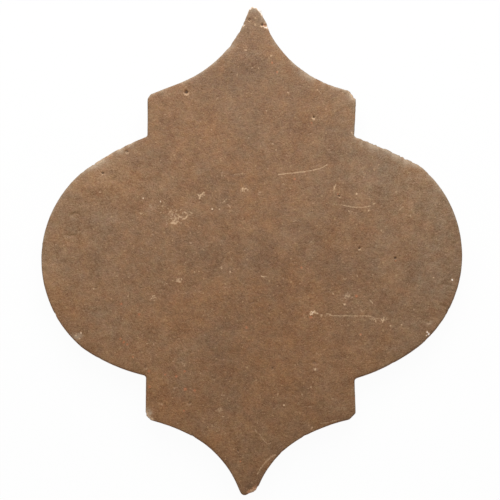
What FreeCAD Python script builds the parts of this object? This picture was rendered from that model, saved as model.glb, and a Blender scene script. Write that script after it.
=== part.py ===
"""Arabesque floor tile: one slab of fired clay, lying face up.

The outline is a lantern: a point at each end, hollow flanks that widen to a
short straight neck, and between the necks two round bulges. The hollow flank
of one tile takes the bulge of its neighbour, so flank and bulge have nearly
the same radius. The tile is hand cut and worn: no quarter is quite like the
next, the lower point is knocked short, and the neck's corners are broken.

Frame: millimetres, +Z up out of the face, +Y towards the long upper point.
The origin is the middle of the underside's bounding rectangle.
"""

import FreeCAD, Part
import math
import os

# Overall size
TILE_LENGTH = 235.0  # point to point, along Y
TILE_WIDTH = 202.4  # across the two bulges, along X
TILE_THICKNESS = 16.0

# Outline, common to the four quarters
NECK_WIDTH = 100.0  # between the straight neck sides
NECK_LENGTH = 17.5  # straight side, from the notch to the broken corner
NOTCH_HEIGHT = 58.2  # notch, measured from the bulges' cross axis
BULGE_AXIS_Y = -2.5  # below mid length, because the lower point is worn short
BULGE_RADIUS = 55.8
SHOULDER_ANGLE = 50.0  # degrees up the bulge where the flat shoulder takes over
SHOULDER_CORNER = 4.5  # degrees that the edge turns in there

# Hollow flank, from the point to the neck: a round stretch, then a flatter one
TIP_SLOPE = 19.0  # degrees between the flank and the long axis, at the point
ROUND_REACH = 0.7  # how far towards the neck the round stretch goes, of the whole
ROUND_TURN = 1.45  # how far it turns, of the turn that would face it to the neck

# The two points
UPPER_TIP_RADIUS = 3.1
UPPER_TIP_X = 1.2
LOWER_TIP_RADIUS = 2.5
LOWER_TIP_X = -3.4
LOWER_BREAK_WIDTH = 6.5  # knocked-off right side of the lower point, across
LOWER_BREAK_HEIGHT = 3.8  # and along the tile

# Edges
FACE_ARRIS = 1.0  # worn round edge of the face
BACK_ARRIS = 0.5  # edge of the underside
SHOULDER_FILLET = 12.0  # slight corner between bulge and shoulder, worn round
NOTCH_FILLET = 1.4  # inner corner where the neck meets the bulge
CORNER_FILLET = 1.4  # broken corners of the neck and the lower point, worn round

# How far each hand-cut quarter departs from the sizes above.
#   side and end: which quarter, with 1 for right and upper
#   notch: further out than half the neck width, and further than the notch height
#   neck: its far end further out, and the straight side longer
#   broken: what the neck's corner has lost, across and along the tile
#   corner: more turn where the shoulder starts
#   slope, reach and turn: more of each in the hollow flank
QUARTERS = {
    "upper_right": dict(
        side=1, end=1, notch=(-0.7, -0.7), neck=(0.3, 0.8), broken=(2.6, 3.6),
        corner=5.6, slope=-2.0, reach=0.12, turn=0.19,
    ),
    "lower_right": dict(
        side=1, end=-1, notch=(-0.5, 0.9), neck=(0.0, -1.1), broken=(3.0, 3.15),
        corner=-2.3, slope=2.3, reach=-0.15, turn=-0.25,
    ),
    "lower_left": dict(
        side=-1, end=-1, notch=(0.9, -0.6), neck=(1.1, -0.2), broken=(2.5, 4.0),
        corner=0.6, slope=0.8, reach=-0.03, turn=-0.05,
    ),
    "upper_left": dict(
        side=-1, end=1, notch=(0.2, -0.6), neck=(0.2, 0.6), broken=(1.5, 2.2),
        corner=-2.0, slope=-0.9, reach=0.07, turn=0.17,
    ),
}
# The two bulges, right (1) and left (-1): how far each sits below the cross axis,
# and how much larger its radius is
BULGE_DROP = {1: -0.2, -1: 1.8}
BULGE_GROWTH = {1: 0.5, -1: -0.4}


def point(x, y):
    return FreeCAD.Vector(x, y, 0)


def polar(quarter, radius, degrees):
    """A step at an angle from the X axis, mirrored into the quarter."""
    angle = math.radians(degrees)
    x = radius * math.cos(angle)
    y = radius * math.sin(angle)
    return point(quarter["side"] * x, quarter["end"] * y)


def line(start, end):
    return Part.LineSegment(start, end).toShape()


def arc_about(centre, start, end):
    """The shorter arc about a centre."""
    bisector = (start - centre) + (end - centre)
    middle = centre + bisector * ((start - centre).Length / bisector.Length)
    return Part.Arc(start, middle, end).toShape()


def arc_square_to(normal, start, end):
    """The arc that leaves `start` square to a unit normal and reaches `end`."""
    reach = end - start
    radius = -reach.dot(reach) / (2 * reach.dot(normal))
    return arc_about(start - normal * radius, start, end)


def bulge_radius(side):
    return BULGE_RADIUS + BULGE_GROWTH[side]


def bulge_centre(side):
    x = side * (TILE_WIDTH / 2 - bulge_radius(side))
    return point(x, BULGE_AXIS_Y - BULGE_DROP[side])


def bulge_end(quarter):
    """Where the bulge's round hands over to the shoulder."""
    side = quarter["side"]
    return bulge_centre(side) + polar(quarter, bulge_radius(side), SHOULDER_ANGLE)


def notch(quarter):
    out, up = quarter["notch"]
    x = quarter["side"] * (NECK_WIDTH / 2 + out)
    return point(x, BULGE_AXIS_Y + quarter["end"] * (NOTCH_HEIGHT + up))


def neck_end(quarter):
    """The far end of the straight neck side, at the broken corner."""
    out, longer = quarter["neck"]
    x = quarter["side"] * (NECK_WIDTH / 2 + out)
    return point(x, notch(quarter).y + quarter["end"] * (NECK_LENGTH + longer))


def flank_foot(quarter):
    """The end of the hollow flank, on the other side of the broken corner."""
    across, along = quarter["broken"]
    return neck_end(quarter) + point(-quarter["side"] * across, quarter["end"] * along)


def tip_slope(quarter):
    return TIP_SLOPE + quarter["slope"]


def flank(quarter, start):
    """The hollow flank, from the point to the neck: a round stretch and a flat one."""
    end = flank_foot(quarter)
    slope = tip_slope(quarter)
    facing = math.degrees(math.atan2(abs(end.x - start.x), abs(end.y - start.y)))
    needed = facing - slope
    swept = needed * (ROUND_TURN + quarter["turn"])
    along = math.sin(math.radians(needed)) + math.sin(math.radians(swept - needed))
    radius = (end - start).Length * (ROUND_REACH + quarter["reach"]) / along
    centre = start + polar(quarter, radius, slope)
    outward = polar(quarter, -1, slope + swept)
    middle = centre + outward * radius
    return [arc_about(centre, start, middle), arc_square_to(outward, middle, end)]


def neck_and_shoulder(quarter):
    turned = SHOULDER_ANGLE + SHOULDER_CORNER + quarter["corner"]
    outward = polar(quarter, 1, turned)
    return [
        line(flank_foot(quarter), neck_end(quarter)),
        line(neck_end(quarter), notch(quarter)),
        arc_square_to(outward, bulge_end(quarter), notch(quarter)),
    ]


def break_foot():
    """The inner end of the break on the lower point."""
    across = LOWER_TIP_X + LOWER_BREAK_WIDTH
    return point(across, LOWER_BREAK_HEIGHT - TILE_LENGTH / 2)


def upper_point():
    right, left = QUARTERS["upper_right"], QUARTERS["upper_left"]
    centre = point(UPPER_TIP_X, TILE_LENGTH / 2 - UPPER_TIP_RADIUS)
    crown = point(UPPER_TIP_X, TILE_LENGTH / 2)
    from_right = centre + polar(right, UPPER_TIP_RADIUS, tip_slope(right))
    from_left = centre + polar(left, UPPER_TIP_RADIUS, tip_slope(left))
    tip = Part.Arc(from_left, crown, from_right).toShape()
    return [tip] + flank(right, from_right) + flank(left, from_left)


def lower_point():
    """The lower point, with a straight break that touches its round end."""
    right, left = QUARTERS["lower_right"], QUARTERS["lower_left"]
    centre = point(LOWER_TIP_X, LOWER_TIP_RADIUS - TILE_LENGTH / 2)
    toe = point(LOWER_TIP_X, -TILE_LENGTH / 2)
    from_left = centre + polar(left, LOWER_TIP_RADIUS, tip_slope(left))
    reach = break_foot() - centre
    turn = math.atan2(reach.y, reach.x) - math.acos(LOWER_TIP_RADIUS / reach.Length)
    touch = centre + point(math.cos(turn), math.sin(turn)) * LOWER_TIP_RADIUS
    tip = Part.Arc(from_left, toe, touch).toShape()
    broken = line(touch, break_foot())
    return [tip, broken] + flank(right, break_foot()) + flank(left, from_left)


def bulge(side_name):
    upper, lower = QUARTERS["upper_" + side_name], QUARTERS["lower_" + side_name]
    return arc_about(bulge_centre(upper["side"]), bulge_end(upper), bulge_end(lower))


def outline():
    """The closed outline, as one wire."""
    edges = upper_point() + lower_point() + [bulge("right"), bulge("left")]
    for quarter in QUARTERS.values():
        edges += neck_and_shoulder(quarter)
    return Part.Wire(Part.__sortEdges__(edges))


def upright_edges(solid, places):
    """The slab's vertical edges that stand over the given points of the outline."""
    found = []
    for edge in solid.Edges:
        first, last = edge.Vertexes[0].Point, edge.Vertexes[-1].Point
        is_upright = abs(first.z - last.z) > TILE_THICKNESS / 2
        on_place = any(math.hypot(first.x - p.x, first.y - p.y) < 0.01 for p in places)
        if is_upright and on_place:
            found.append(edge)
    return found


def level_edges(solid, height):
    """The edges that lie flat at a height."""
    return [e for e in solid.Edges if abs(e.BoundBox.ZMin - height) < 0.001
            and abs(e.BoundBox.ZMax - height) < 0.001]


def make_tile():
    slab = Part.Face(outline()).extrude(FreeCAD.Vector(0, 0, TILE_THICKNESS))
    quarters = QUARTERS.values()
    shoulders = [bulge_end(q) for q in quarters]
    notches = [notch(q) for q in quarters]
    corners = [neck_end(q) for q in quarters] + [flank_foot(q) for q in quarters]
    corners.append(break_foot())
    slab = slab.makeFillet(SHOULDER_FILLET, upright_edges(slab, shoulders))
    slab = slab.makeFillet(NOTCH_FILLET, upright_edges(slab, notches))
    slab = slab.makeFillet(CORNER_FILLET, upright_edges(slab, corners))
    slab = slab.makeFillet(FACE_ARRIS, level_edges(slab, TILE_THICKNESS))
    return slab.makeFillet(BACK_ARRIS, level_edges(slab, 0))


def main():
    os.makedirs("parts", exist_ok=True)
    tile = make_tile()
    tile.exportStep("parts/tile.step")
    box = tile.optimalBoundingBox(True, False)
    print("tile", [round(x, 2) for x in (box.XLength, box.YLength, box.ZLength)], "mm")
    print("volume", round(tile.Volume / 1000, 1), "cm3, valid", tile.isValid())


main()
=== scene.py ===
# %% [markdown]
# # A lantern-shaped floor tile of fired clay
# The real tile is one slab of clay: rolled out, cut by hand, fired without a
# glaze, stained brown and walked on for years. CAD gives the slab its outline
# and thickness. This lesson gives it the skin of the worn one, first as relief
# in the mesh and then as a material. It works in millimetres.

import math

import bmesh
import bpy
import numpy as np
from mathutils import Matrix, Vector, kdtree, noise
from mathutils.geometry import delaunay_2d_cdt


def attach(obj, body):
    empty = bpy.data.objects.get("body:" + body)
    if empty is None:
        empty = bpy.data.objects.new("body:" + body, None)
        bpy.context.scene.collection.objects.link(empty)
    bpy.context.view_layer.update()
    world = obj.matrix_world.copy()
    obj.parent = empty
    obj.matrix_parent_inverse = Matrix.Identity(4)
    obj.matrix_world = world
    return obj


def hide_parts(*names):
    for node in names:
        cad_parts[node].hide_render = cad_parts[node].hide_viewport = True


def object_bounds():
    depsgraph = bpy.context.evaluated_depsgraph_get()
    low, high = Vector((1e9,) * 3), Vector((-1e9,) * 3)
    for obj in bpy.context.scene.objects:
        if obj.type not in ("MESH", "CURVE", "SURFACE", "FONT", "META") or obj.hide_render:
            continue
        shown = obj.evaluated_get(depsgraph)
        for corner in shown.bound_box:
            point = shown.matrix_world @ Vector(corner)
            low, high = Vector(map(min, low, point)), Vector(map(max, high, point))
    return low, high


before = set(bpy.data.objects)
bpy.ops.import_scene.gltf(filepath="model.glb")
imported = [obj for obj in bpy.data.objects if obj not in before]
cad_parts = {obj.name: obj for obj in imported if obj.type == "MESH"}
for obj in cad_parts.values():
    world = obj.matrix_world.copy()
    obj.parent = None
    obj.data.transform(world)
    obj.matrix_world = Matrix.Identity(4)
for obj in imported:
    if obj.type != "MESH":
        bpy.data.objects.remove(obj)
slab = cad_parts["tile"]
slab_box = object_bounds()

MM = 0.001  # metres
FACE = slab_box[1].z / MM  # height of the face above the floor
print("slab:", [round((b - a) / MM, 2) for a, b in zip(*slab_box)], "mm")

# %% [markdown]
# ## The camera
# The tile was photographed lying flat, from straight above. A long lens far
# above it gives the same flat view. The camera stands over a place a hair left
# of and above the tile's middle, because the tile isn't quite in the middle of
# the picture.

# %% Camera
VIEW_WIDTH = 240.15  # what the picture shows across, at the rim of the tile
VIEW_CENTRE = (-0.86, 0.46)
RIM_HEIGHT = FACE - 1
LENS, SENSOR = 100.0, 36.0


def add_object(name, data):
    """A new object in the scene."""
    made = bpy.data.objects.new(name, data)
    bpy.context.scene.collection.objects.link(made)
    return made


camera_data = bpy.data.cameras.new("camera")
camera_data.lens, camera_data.sensor_width = LENS, SENSOR
camera = add_object("camera", camera_data)
above_rim = VIEW_WIDTH * LENS / SENSOR
camera.location = Vector((*VIEW_CENTRE, RIM_HEIGHT + above_rim)) * MM
bpy.context.scene.camera = camera
print("camera:", round(camera.location.z, 3), "m above the floor")

# %% [markdown]
# ## The rim, as the cutter left it
# The edge of the tile is one closed line. It could be drawn again, but the slab
# already has it, so the slab is sliced at half its height and the slice is
# walked round, point by point. CAD hands its curves over as short straight
# runs, so those slight kinks are rounded off. Real corners stay.

# %% Slice the slab and walk round it
RIM_STEP = 0.42  # between two points on the rim


def walk_round(solid, height):
    """The solid's outline at a height, as one closed run of points."""
    cut = bmesh.new()
    cut.from_mesh(solid.data)
    bmesh.ops.remove_doubles(cut, verts=cut.verts, dist=0.001 * MM)
    bmesh.ops.bisect_plane(
        cut, geom=cut.verts[:] + cut.edges[:] + cut.faces[:], dist=0.0001 * MM,
        plane_co=(0, 0, height * MM), plane_no=(0, 0, 1),
        clear_inner=True, clear_outer=True,
    )
    cut.verts.ensure_lookup_table()
    corner = cut.verts[0]
    edge = corner.link_edges[0]
    points = []
    for _ in range(len(cut.verts)):
        points.append((corner.co.x / MM, corner.co.y / MM))
        corner = edge.other_vert(corner)
        edge = next(e for e in corner.link_edges if e != edge)
    cut.free()
    return np.array(points)


def even_steps(path, step, ends=True):
    """Points at even steps along a path, with or without one at its very end."""
    path = np.array(path, float)
    walked = np.cumsum(np.linalg.norm(np.diff(path, axis=0), axis=1))
    walked = np.concatenate([[0], walked])
    stops = np.linspace(0, walked[-1], max(2, round(walked[-1] / step)), endpoint=ends)
    return np.column_stack([np.interp(stops, walked, path[:, i]) for i in (0, 1)])


outline = walk_round(slab, FACE / 2)
x, y = outline.T
if np.sum(x * np.roll(y, -1) - np.roll(x, -1) * y) < 0:
    outline = outline[::-1]  # anticlockwise
clean_rim = even_steps(np.vstack([outline, outline[:1]]), RIM_STEP, ends=False)
print("rim:", len(clean_rim), "points,", round(len(clean_rim) * RIM_STEP), "mm round")

# %% Round off the slight kinks
KINK_REACH = 3  # steps to each side over which a turn is measured
LEAST_CORNER, SURE_CORNER = 12.0, 30.0  # degrees of turn
SMOOTHING_ROUNDS = 12


def turn_at(points, reach):
    """How far a closed run turns within a few steps to each side, in degrees."""
    after = np.roll(points, -reach, axis=0) - points
    before = points - np.roll(points, reach, axis=0)
    cross = before[:, 0] * after[:, 1] - before[:, 1] * after[:, 0]
    return np.degrees(np.abs(np.arctan2(cross, np.sum(before * after, axis=1))))


corner_share = (turn_at(clean_rim, KINK_REACH) - LEAST_CORNER) / (SURE_CORNER - LEAST_CORNER)
smoothing = 1 - np.clip(corner_share, 0, 1)[:, None]
for _ in range(SMOOTHING_ROUNDS):
    between = (np.roll(clean_rim, 1, axis=0) + np.roll(clean_rim, -1, axis=0)) / 2
    clean_rim += smoothing * (between - clean_rim) / 2

forward = np.roll(clean_rim, -2, axis=0) - np.roll(clean_rim, 2, axis=0)
forward /= np.linalg.norm(forward, axis=1)[:, None]
outward = np.column_stack([forward[:, 1], -forward[:, 0]])
print("sharpest turn:", round(turn_at(clean_rim, KINK_REACH).max()), "degrees")

# %% [markdown]
# ## Wear on the rim
# A knife leaves a slightly wavy edge, and years of feet and brushes round it over. On the shoulders it has
# crumbled, and here and there a chip has broken off. The rim is pushed inwards by a little smooth noise, by
# fine crumbs on the stretches listed as crumbly, and by chips that are listed one by one.

# %% Smooth noise, and the width of the worn edge
ARRIS = 1.0  # how far the worn edge rounds in from the rim
KNIFE_WAVES = [(0.05, 7, 1), (0.03, 1.7, 2)]  # height, length and seed of each wave
COARSE_CRUMBS, FINE_CRUMBS = 0.04, 0.17  # how far they break out where it crumbles
CRUMBLY = [  # x, y, reach, how crumbly the edge is there
    (58, 51, 9, 1.9), (71, 46.5, 8, 2.4), (84, 36, 7, 0.6), (-73, 43.5, 9, 1.7), (-60, 50.5, 6, 0.9),
    (-9, 98, 6, 0.9), (-5, 108, 4, 0.8), (49, 74, 6, 1.3), (29, 84, 13, 0.9), (2, 117, 4, 1.2),
    (92, -28, 14, 0.7),
]


def drift(points, size, seed):
    """Smooth noise from about -1 to 1, which changes over about `size` mm."""
    z = seed + 0.37
    return np.array([noise.noise(Vector((x / size, y / size, z))) for x, y in points])


def waviness(points, waves):
    """Smooth unevenness that only takes clay away: the sum of a few waves."""
    return sum(high * (1 + drift(points, size, seed)) for high, size, seed in waves)


def nearness(points, x, y, reach):
    """1 at a place, falling smoothly to nothing beyond it."""
    far = np.hypot(points[:, 0] - x, points[:, 1] - y) / reach
    return np.exp(-far ** 2)


crumbly = sum(much * nearness(clean_rim, x, y, reach) for x, y, reach, much in CRUMBLY)
crumbs = waviness(clean_rim, [(COARSE_CRUMBS, 3.5, 5)])
crumbs += FINE_CRUMBS * np.clip(0.3 + 1.8 * drift(clean_rim, 1.1, 6), 0, 1.5)
ragged = waviness(clean_rim, KNIFE_WAVES) + crumbly * crumbs
arris = ARRIS * (1 + 0.35 * drift(clean_rim, 26, 3) + 0.25 * drift(clean_rim, 5, 4))
arris = np.clip(arris * (1 + 0.2 * crumbly), 0.6, 1.7)
print("worn edge:", round(arris.min(), 2), "to", round(arris.max(), 2), "mm wide")

# %% Chips off the rim
CHIPS = [  # x, y, half its length, how far in, how far down, fresh clay, lime
    # The lower point
    (2.9, -113.6, 0.6, 0.4, 1.6, 0.3, 0.2), (0.9, -115.2, 1.6, -0.7, 0.8, 0.5, 0.7),
    # The upper point: its right side
    (7.6, 107.7, 0.8, 0.2, 1.4, 0.4, 0.6),
    # Which bulges a little, above the chip
    (7, 109.6, 3.6, -0.7, 0.8, 0, 0),
    # Its rounded end
    (3.8, 116, 1.4, -0.75, 0.9, 0, 3), (4.8, 114, 1.3, -0.3, 0.8, 0, 2.4),
    (1.6, 117.5, 1.5, -0.3, 0.8, 0.3, 2.4), (-1.2, 116.8, 1.3, -0.15, 0.8, 0.3, 1.9),
    (-2.3, 114.2, 1, 0.05, 0.8, 0, 1.1),
    # Left side of the upper point
    (-5.6, 105.3, 0.9, 0.25, 1, 0, 0.5), (-10.6, 98.6, 1, 0.3, 1, 0, 0.4),
    # Corner of the upper right neck
    (49.3, 75.2, 2.2, 0.5, 2, 0.25, 0.5),
    # The upper right shoulder
    (57.5, 52.2, 1.6, 0.1, 1.2, 0.1, 0.2), (63, 49.8, 1.3, 0.15, 1.2, 0.1, 0.3),
    (69, 47.6, 1.5, 0.1, 1.2, 0.1, 0.2), (73.8, 45.6, 1.1, 0.2, 1.2, 0.2, 0.3),
    # The upper left shoulder
    (-73.5, 43.6, 3, 0.1, 1, 0, 0.5), (-68.5, 46.6, 2.4, 0.1, 1, 0, 0.6), (-63, 49.3, 2, 0.05, 1, 0, 0.5),
    (-58, 51.4, 1.6, 0.1, 1, 0, 0.5),
    # Lower left
    (-94.2, -30.4, 1, 0.15, 1.2, 0, 1.7), (-73.4, -51.5, 0.9, 0.05, 1, 0, 1.2),
    (-49.9, -79.1, 1.7, -0.6, 0.7, 0, 0.5),
    # A slight swelling on the far left, which the slab's box trims
    (-101.1, 3.6, 0.5, -0.4, 1, 0, 0),
    # The lower flanks, and the lower right of the right bulge
    (14, -96.2, 1.1, 0.2, 1, 0.7, 0.2), (25.3, -88.7, 1, 0.2, 1, 0.6, 0.2),
    (-28.3, -89, 0.9, 0.2, 1.2, 0, 0.2), (66.8, -53.4, 1.1, 0.2, 1, 0.5, 0.2),
    (83.9, -41.7, 1, 0.15, 1, 0.5, 0.4),
]

BREAKS = [  # x, y, half its length, how wide, how deep, fresh clay, lime: sloping facets
    (0.5, -114.9, 1.7, 2.3, 0.7, 0.9, 0.5), (6.9, 107.9, 1.2, 1.2, 0.5, 0.3, 0.6),
    (48.6, 75.6, 1.6, 1.4, 0.6, 0.1, 0.5), (-48.9, -79.1, 1.9, 1.6, 0.3, 0, 0.8),
]

chip_in = np.zeros(len(clean_rim))
chip_down = 1.0 + 0.7 * crumbly
for x, y, half, inwards, down, *_ in CHIPS:
    share = nearness(clean_rim, x, y, half)
    uneven = 1 + 0.5 * drift(clean_rim, half / 2, x)
    chip_in += inwards * share * uneven
    chip_down = np.maximum(chip_down, down * share)
arris = np.clip(arris * (1 + 0.4 * chip_in), 0.6, 1.9)
edge_loss = ragged + chip_in
rim = clean_rim - outward * edge_loss[:, None]
print("deepest chip:", round(chip_in.max(), 2), "mm")

# %% [markdown]
# ## Marks on the face
# Pits are where a grain or a bubble came out of the clay. Scratches and crumbs are pale with lime from old
# mortar, and specks are grains of it. The larger marks are listed one by one, each at its own spot, so that
# the tile is that tile and not just one of its kind. The smallest are scattered, with a fixed seed.
# Broad soft patches are partly from the kiln, where hotter clay came out warmer in colour, and partly
# painted light and shade: lighter shoulders and edges, a darker lower point and a grey sheen on the bulges
# and the upper point.
# Each list says where a mark lies, in millimetres from the tile's middle.

# %% Pits and specks
# A pit's pale lower lip is partly lime and partly a painted highlight, on the side of the pit that the lamp
# lights.
PITS = [  # x, y, width, depth, lime on its lower lip
    (-1.1, 110.9, 1.3, 0.35, 0.5), (5.1, 108.5, 1.6, 0.6, 1.2), (6.5, 108.1, 1.7, 0.7, 2.2),
    (-3.9, 108.8, 1.1, 0.3, 1.6), (0.3, 88.4, 1.2, 0.2, 0.4), (-9.5, 85.5, 0.9, 0.3, 0.1),
    (17.6, 76.7, 1.3, 0.25, 0.5), (-31.4, 76.2, 2.3, 0.5, 0.8), (29.7, 64.1, 1.2, 0.45, 1.1),
    (-24.6, 53.9, 0.9, 0.25, 0.5), (-1.6, 54.7, 0.9, 0.25, 0.5), (37.1, 49, 1, 0.25, 0.6),
    (-71.5, 37.3, 1.5, 0.5, 0.7), (53.6, 36, 0.9, 0.2, 0.4), (-59.9, 47.8, 1.6, 0.3, 0.5),
    (41.9, 26.4, 1.1, 0.4, 0.5), (-19, 19.1, 1, 0.3, 0), (-25.1, 24.2, 0.9, 0.3, 0),
    (-3.6, 14.9, 0.9, 0.2, 0.1), (51.6, 1.3, 1.3, 0.5, 0.9), (68.8, -3.4, 1.5, 0.6, 0.4),
    (-51, -55.8, 1.8, 0.2, 0.4), (-43.6, -72.5, 1.9, 0.2, 0.4), (-36.9, -64.9, 1.8, 0.2, 0.4),
    (-29.9, -72.8, 1.8, 0.25, 0.3), (30.2, -53.6, 2.6, 0.25, 0), (9.9, -56.1, 1.1, 0.3, 0),
    (-6.6, -95.8, 1.2, 0.35, 0.2), (84.9, -34.4, 1.2, 0.2, 0.4),
]
SPECKS = [  # x, y, width, how pale
    (-2.8, 96.4, 1.3, 0.5), (9.2, 93.6, 1, 0.6), (1.6, 108.5, 1.2, 0.6), (1.7, 111.7, 0.9, 0.4),
    (2.9, 116.4, 1.5, 2), (3.7, 115.6, 1.6, 2.2), (4.3, 114.6, 1.2, 1.8), (4.8, 113.5, 0.9, 1.4),
    (1.3, 116.9, 1, 1.5), (-0.7, 116.2, 0.9, 1.2), (84.2, -39, 1, 2.2), (84.9, -39.9, 1.1, 2.2),
    (83.9, -40.6, 0.7, 1.6), (-81.9, -39.3, 0.9, 1.4), (-84.4, -40.6, 1, 1), (-82.6, -42, 0.9, 0.8),
    (-59.4, -21.6, 0.8, 0.7), (-75.9, -18.2, 0.9, 0.7), (-68.9, 24.9, 0.7, 0.5), (-31.6, 78.7, 0.9, 0.4),
    (31.5, 77.3, 1.1, 0.5), (7, 67.2, 0.9, 0.7), (-19.3, 58.1, 0.9, 0.5), (48, 56.7, 1.2, 0.7),
    (11.6, 48.5, 0.9, 0.5), (6.3, 47.5, 0.8, 0.4), (7.8, 39.4, 0.9, 0.5), (-20.5, 35.8, 0.8, 0.5),
    (-19.2, 35.8, 0.8, 0.5), (-16.6, 35.9, 0.8, 0.45), (-14.4, 36, 0.8, 0.5), (-13.1, 36.1, 0.7, 0.4),
    (-52.1, 25.3, 0.65, 1.5), (-43.8, 23.8, 0.65, 1.5), (-72.9, 28.1, 1, 0.6), (-53.2, 18, 1.3, 0.6),
    (-18.9, 20.1, 0.9, 1.4), (-15.5, 19.9, 0.9, 0.8), (-34.1, 19.7, 0.9, 0.5), (50.3, 27.4, 1.1, 0.9),
    (56, 19.4, 0.9, 0.7), (58.6, 22.8, 0.9, 0.6), (50, 18, 0.9, 0.5), (69.3, 28.3, 1, 0.4),
    (67.3, 27.1, 0.9, 0.4), (96.1, -13.9, 0.85, 2.3), (87.2, -12.8, 1, 0.6), (30.4, -56.8, 1.3, 0.9),
    (24.1, -68.7, 0.9, 0.6), (28.4, -65.3, 1, 0.6), (15.5, -74, 1, 0.9), (-3.3, -65.8, 1, 0.5),
    (-13.8, -79.5, 1, 0.6), (-15.1, -76.4, 2.7, 0.42), (2.6, -82.4, 0.9, 0.5), (28.9, -84.9, 1, 0.7),
    (-23.9, -86, 0.9, 0.4), (-16.8, -86.5, 0.9, 0.4), (44.5, -25.7, 1.2, 0.9), (42.8, -23.1, 0.9, 0.5),
    (39, -20.4, 1.2, 0.6), (33.5, -31, 1.4, 0.6), (-35.1, -14, 1.1, 0.6), (-27.5, -10.1, 0.9, 0.5),
    (-10.4, -10, 1.1, 0.7), (-14.4, -8.2, 0.9, 0.5), (51.4, -18.6, 0.9, 0.5), (-62, -32.6, 0.9, 0.5),
    (66.5, -36, 1.1, 0.7), (71.9, -35.3, 1, 0.6), (77.8, -28.3, 1, 0.5), (-50.3, -44.4, 1, 0.5),
    (-47.1, -44.5, 1, 0.5),
]
print(len(PITS), "pits and", len(SPECKS), "specks by hand")

# %% Scratches and small dents
SCRATCHES = [  # the points it passes, width, how pale, share of it that shows
    ([(12.9, 36.7), (19.3, 37.4), (25.6, 38.1)], 0.5, 0.8, 1.1),
    ([(25.6, 38.1), (32.6, 39.5), (36.5, 41.6)], 0.45, 0.75, 0.65),
    ([(40.2, 31.6), (39.5, 30.4), (39.4, 29.4)], 0.65, 0.75, 0.8),
    ([(-8.5, 36.7), (-1.6, 37.2)], 0.45, 0.55, 0.65),
    ([(27, 23), (35.2, 22.9), (43.8, 22)], 0.45, 0.5, 0.5),
    ([(43.8, 22), (48.6, 21), (54.4, 21), (56.8, 21.6), (59.2, 22.9)], 0.45, 0.7, 0.75),
    ([(36, -30.7), (39.5, -31), (42.6, -31.2), (45.6, -31)], 0.45, 0.65, 0.85),
    ([(45.6, -31), (49.8, -31.2), (53, -31.1), (57.8, -31.4)], 0.45, 0.6, 0.8),
    ([(57, -31.4), (59.6, -32.2), (62.4, -32.4)], 0.45, 0.45, 0.7),
    ([(35.6, -30.1), (37.6, -30.3)], 0.8, 0.5, 0.8),
    ([(2.8, -106.9), (4.2, -104.3), (5.8, -102.3), (7.4, -100.4)], 0.6, 0.5, 1.1),
    ([(7, -100.8), (9.3, -98.8), (11.2, -97.8)], 1, 0.5, 1),
    ([(33, -82.7), (37.3, -82.3), (39.9, -81.4), (42.8, -80.7)], 0.5, 0.45, 0.9),
    ([(3.9, -88.1), (6.1, -91.3), (7.7, -92.7), (9.2, -92.1)], 0.45, 0.5, 1.1),
    ([(1.4, -85.3), (2.4, -87.2), (3.6, -87.4)], 0.45, 0.4, 0.9),
    ([(56.8, -23.8), (58, -25)], 0.55, 0.8, 0.9), ([(52.4, -28.4), (53.4, -29.3)], 0.6, 0.4, 0.9),
    ([(51.6, -39.4), (52.8, -40.9)], 0.6, 0.35, 0.9), ([(-7.8, -32.4), (-6.9, -33.6)], 0.45, 0.4, 0.9),
    ([(4.6, -11.9), (5.6, -12.4), (6.8, -12.3)], 0.5, 0.8, 1),
    ([(-38.6, -53.7), (-37.6, -52.9)], 0.45, 0.4, 0.9), ([(-35.8, -42.1), (-34.5, -42.3)], 0.45, 0.4, 0.9),
    ([(-10.4, -3.2), (-9.3, -4.4)], 0.45, 0.45, 0.9), ([(31.5, 77.3), (33.6, 75.4)], 0.45, 0.4, 0.7),
    ([(70.6, 19.6), (72.6, 21.3)], 0.5, 0.5, 0.8), ([(76.3, 20.4), (78.1, 17.5)], 0.6, 0.35, 0.7),
    ([(19.6, 13.9), (20.7, 14.7), (21.9, 14.2)], 0.45, 0.4, 0.8),
    ([(-66.4, 39), (-66.2, 37.6)], 0.55, 0.35, 0.9),
    # Strokes of lime, left by a trowel or a boot
    ([(-25.1, 25), (-24.9, 26.4), (-23, 28.1)], 0.7, 0.9, 0.9),
    ([(-25.9, 27.2), (-24.9, 26.2)], 0.6, 0.8, 0.9),
    ([(-32.3, 18.7), (-31.1, 18), (-30.9, 16.8), (-31.8, 15.6), (-33, 15.3)], 0.6, 0.9, 0.75),
    ([(-30.2, 18.9), (-28.5, 18)], 0.6, 0.55, 0.7), ([(-29.9, 17.4), (-28.8, 18)], 0.5, 0.5, 0.7),
    ([(-38.4, 13.3), (-37.4, 14.4), (-36.2, 15.6)], 1, 0.7, 0.8),
    ([(-38.3, 13.4), (-36.5, 13.4)], 1.1, 0.9, 0.9), ([(-41.2, 14.9), (-40.5, 13.4)], 0.6, 0.45, 0.7),
    ([(-39.8, 18.2), (-38.8, 17.5), (-37.8, 18.2)], 0.55, 0.45, 0.7),
    ([(-13.8, 23.3), (-12.2, 24.8)], 0.5, 0.7, 0.9), ([(-11.6, 22.4), (-10.2, 20.9)], 0.45, 0.6, 0.8),
]
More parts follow.
